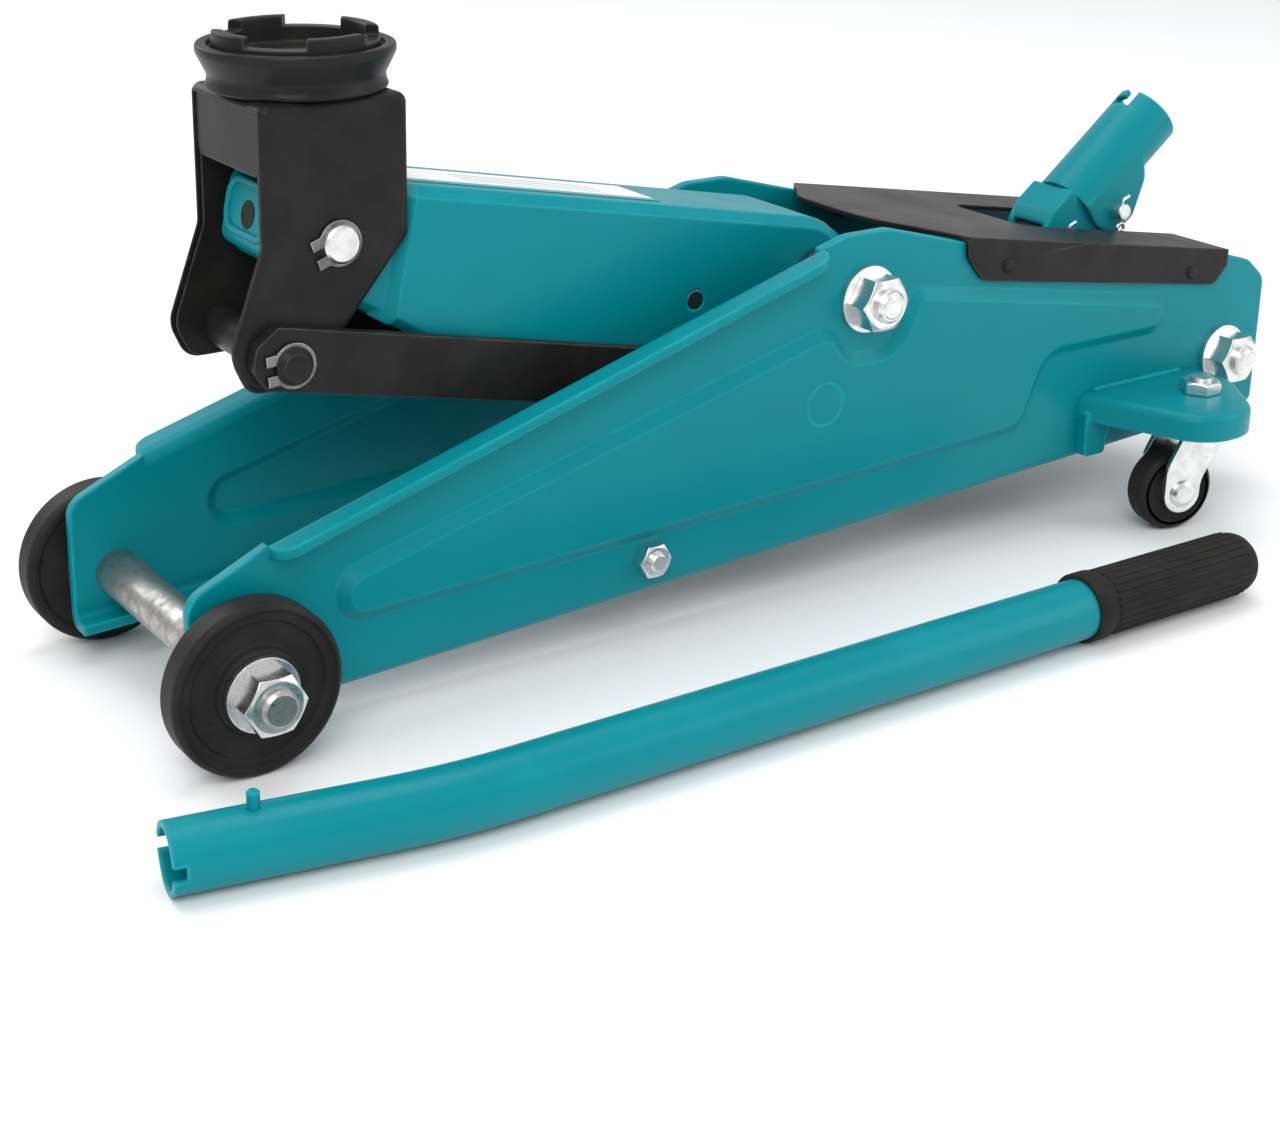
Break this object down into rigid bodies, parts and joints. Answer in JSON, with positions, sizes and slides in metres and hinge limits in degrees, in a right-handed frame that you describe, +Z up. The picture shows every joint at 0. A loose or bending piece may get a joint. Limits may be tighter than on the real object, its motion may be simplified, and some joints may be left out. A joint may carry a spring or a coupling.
{
  "type": "trolley jack",
  "caption": "Hydraulic trolley floor jack with a hinged lifting arm, levelled saddle, pump socket, front wheels and rear casters, and its separate bent pump handle.",
  "frame": {"origin": "on the floor, under the middle of the whole object as drawn, handle included", "axes": "+X towards the pump socket end, +Y to the right seen from that end looking forward, +Z up"},
  "size_m": [0.593, 0.2752, 0.2478],
  "materials": {
    "teal_paint": "gloss enamel",
    "black_paint": "satin black enamel",
    "zinc_plate": "bright zinc plate",
    "dark_steel": "oiled dark steel",
    "wheel_nylon": "moulded black nylon",
    "grip_rubber": "ribbed rubber",
    "hard_chrome": "hard chrome",
    "cast_body": "painted casting"
  },
  "bodies": {
    "chassis": {"side_plate_left": "teal_paint", "side_plate_right": "teal_paint", "front_axle": "zinc_plate", "frame_washers": "zinc_plate", "frame_nuts": "zinc_plate", "main_pivot_shaft": "zinc_plate", "rear_cross_bolt": "zinc_plate", "spring_anchor_rod": "zinc_plate", "anchor_rod_nuts": "zinc_plate", "link_pivot_studs": "teal_paint", "link_stud_clips": "dark_steel", "caster_shelf_left": "teal_paint", "caster_shelf_right": "teal_paint", "cover_plate": "black_paint", "cover_screws": "black_paint", "hydraulic_block": "cast_body", "oil_reservoir": "cast_body", "pressure_cylinder": "dark_steel", "gland_nut": "cast_body", "filler_plug": "grip_rubber", "lever_pivot_pin": "zinc_plate", "pivot_pin_cotter": "zinc_plate", "pump_spring": "dark_steel", "return_springs": "dark_steel"},
    "lift_arm": {"lift_arm": "teal_paint", "arm_pivot_tube": "dark_steel", "lift_horns": "dark_steel", "roller_pin": "dark_steel", "spring_hook_rod": "dark_steel"},
    "ram_roller": {"ram_roller": "dark_steel"},
    "saddle_bracket": {"bracket_outer": "black_paint", "bracket_inner": "black_paint", "head_pin": "zinc_plate", "lower_link_pin": "black_paint", "bracket_pin_clips": "dark_steel"},
    "saddle": {"saddle_cup": "black_paint", "saddle_ring": "dark_steel"},
    "link": {"link_frame": "black_paint"},
    "ram": {"ram": "hard_chrome", "ram_piston": "dark_steel"},
    "handle_socket": {"handle_socket": "teal_paint", "pump_lever": "teal_paint", "lever_roller_pin": "zinc_plate", "roller_pin_cotter": "zinc_plate"},
    "pump_roller": {"pump_roller": "dark_steel"},
    "pump_plunger": {"pump_plunger": "hard_chrome"},
    "release_valve": {"release_valve": "zinc_plate"},
    "front_wheel_left": {"front_wheel_left": "wheel_nylon"},
    "front_wheel_right": {"front_wheel_right": "wheel_nylon"},
    "caster_left": {"caster_fork_left": "zinc_plate", "caster_axle_left": "zinc_plate", "caster_nut_left": "zinc_plate"},
    "caster_right": {"caster_fork_right": "zinc_plate", "caster_axle_right": "zinc_plate", "caster_nut_right": "zinc_plate"},
    "caster_wheel_left": {"caster_wheel_left": "wheel_nylon"},
    "caster_wheel_right": {"caster_wheel_right": "wheel_nylon"},
    "handle": {"handle_tube": "teal_paint", "handle_pin": "teal_paint", "handle_grip": "grip_rubber"}
  },
  "joints": [
    {"name": "lift_hinge", "type": "hinge", "parent": "chassis", "child": "lift_arm", "pos_m": [0.04949, 0.02515, 0.127], "axis": [0, 1, 0], "range_deg": [-28.2, 43], "deforming": ["return_springs"]},
    {"name": "ram_roller_spin", "type": "hinge", "parent": "lift_arm", "child": "ram_roller", "pos_m": [0.05723, 0.02515, 0.08267], "axis": [0, 1, 0], "continuous": true},
    {"name": "head_hinge", "type": "hinge", "parent": "lift_arm", "child": "saddle_bracket", "pos_m": [-0.17675, 0.02515, 0.17509], "axis": [0, 1, 0], "range_deg": [-43, 28.2]},
    {"name": "saddle_turn", "type": "hinge", "parent": "saddle_bracket", "child": "saddle", "pos_m": [-0.17675, 0.02515, 0.2265], "axis": [0, 0, 1], "continuous": true},
    {"name": "link_hinge", "type": "hinge", "parent": "chassis", "child": "link", "pos_m": [0.02749, 0.02515, 0.0865], "axis": [0, 1, 0], "range_deg": [-28.2, 43]},
    {"name": "ram_slide", "type": "slide", "parent": "chassis", "child": "ram", "axis": [-1, 0, 0], "range_m": [-0.02131, 0.03245]},
    {"name": "handle_hinge", "type": "hinge", "parent": "chassis", "child": "handle_socket", "pos_m": [0.20649, 0.02515, 0.122], "axis": [0, -1, 0], "range_deg": [-18, 27]},
    {"name": "pump_roller_spin", "type": "hinge", "parent": "handle_socket", "child": "pump_roller", "pos_m": [0.23752, 0.02515, 0.13101], "axis": [0, 1, 0], "continuous": true},
    {"name": "plunger_slide", "type": "slide", "parent": "chassis", "child": "pump_plunger", "axis": [0, 0, 1], "range_m": [-0.00934, 0.01395], "deforming": ["pump_spring"]},
    {"name": "release_turn", "type": "hinge", "parent": "chassis", "child": "release_valve", "pos_m": [0.28149, 0.00815, 0.086], "axis": [1, 0, 0], "range_deg": [0, 180]},
    {"name": "front_wheel_left_spin", "type": "hinge", "parent": "chassis", "child": "front_wheel_left", "pos_m": [-0.23451, -0.03505, 0.0325], "axis": [0, 1, 0], "continuous": true},
    {"name": "front_wheel_right_spin", "type": "hinge", "parent": "chassis", "child": "front_wheel_right", "pos_m": [-0.23451, 0.08535, 0.0325], "axis": [0, 1, 0], "continuous": true},
    {"name": "caster_left_swivel", "type": "hinge", "parent": "chassis", "child": "caster_left", "pos_m": [0.22749, -0.05785, 0.063], "axis": [0, 0, 1], "continuous": true},
    {"name": "caster_right_swivel", "type": "hinge", "parent": "chassis", "child": "caster_right", "pos_m": [0.22749, 0.10815, 0.063], "axis": [0, 0, 1], "continuous": true},
    {"name": "caster_left_spin", "type": "hinge", "parent": "caster_left", "child": "caster_wheel_left", "pos_m": [0.21633, -0.05507, 0.019], "axis": [-0.2419, -0.9703, 0], "continuous": true},
    {"name": "caster_right_spin", "type": "hinge", "parent": "caster_right", "child": "caster_wheel_right", "pos_m": [0.21633, 0.10537, 0.019], "axis": [-0.2419, 0.9703, 0], "continuous": true},
    {"name": "handle_lift", "type": "slide", "parent": "chassis", "child": "handle", "axis": [0, 0, 1], "range_m": [0, 0.3]}
  ],
  "couplings": [
    {"joint": "head_hinge", "follows": "lift_hinge", "ratio": -1},
    {"joint": "link_hinge", "follows": "lift_hinge", "ratio": 1},
    {"joint": "ram_slide", "follows": "lift_hinge", "m_per_rad": 0.0431},
    {"joint": "plunger_slide", "follows": "handle_hinge", "m_per_rad": 0.0294}
  ]
}
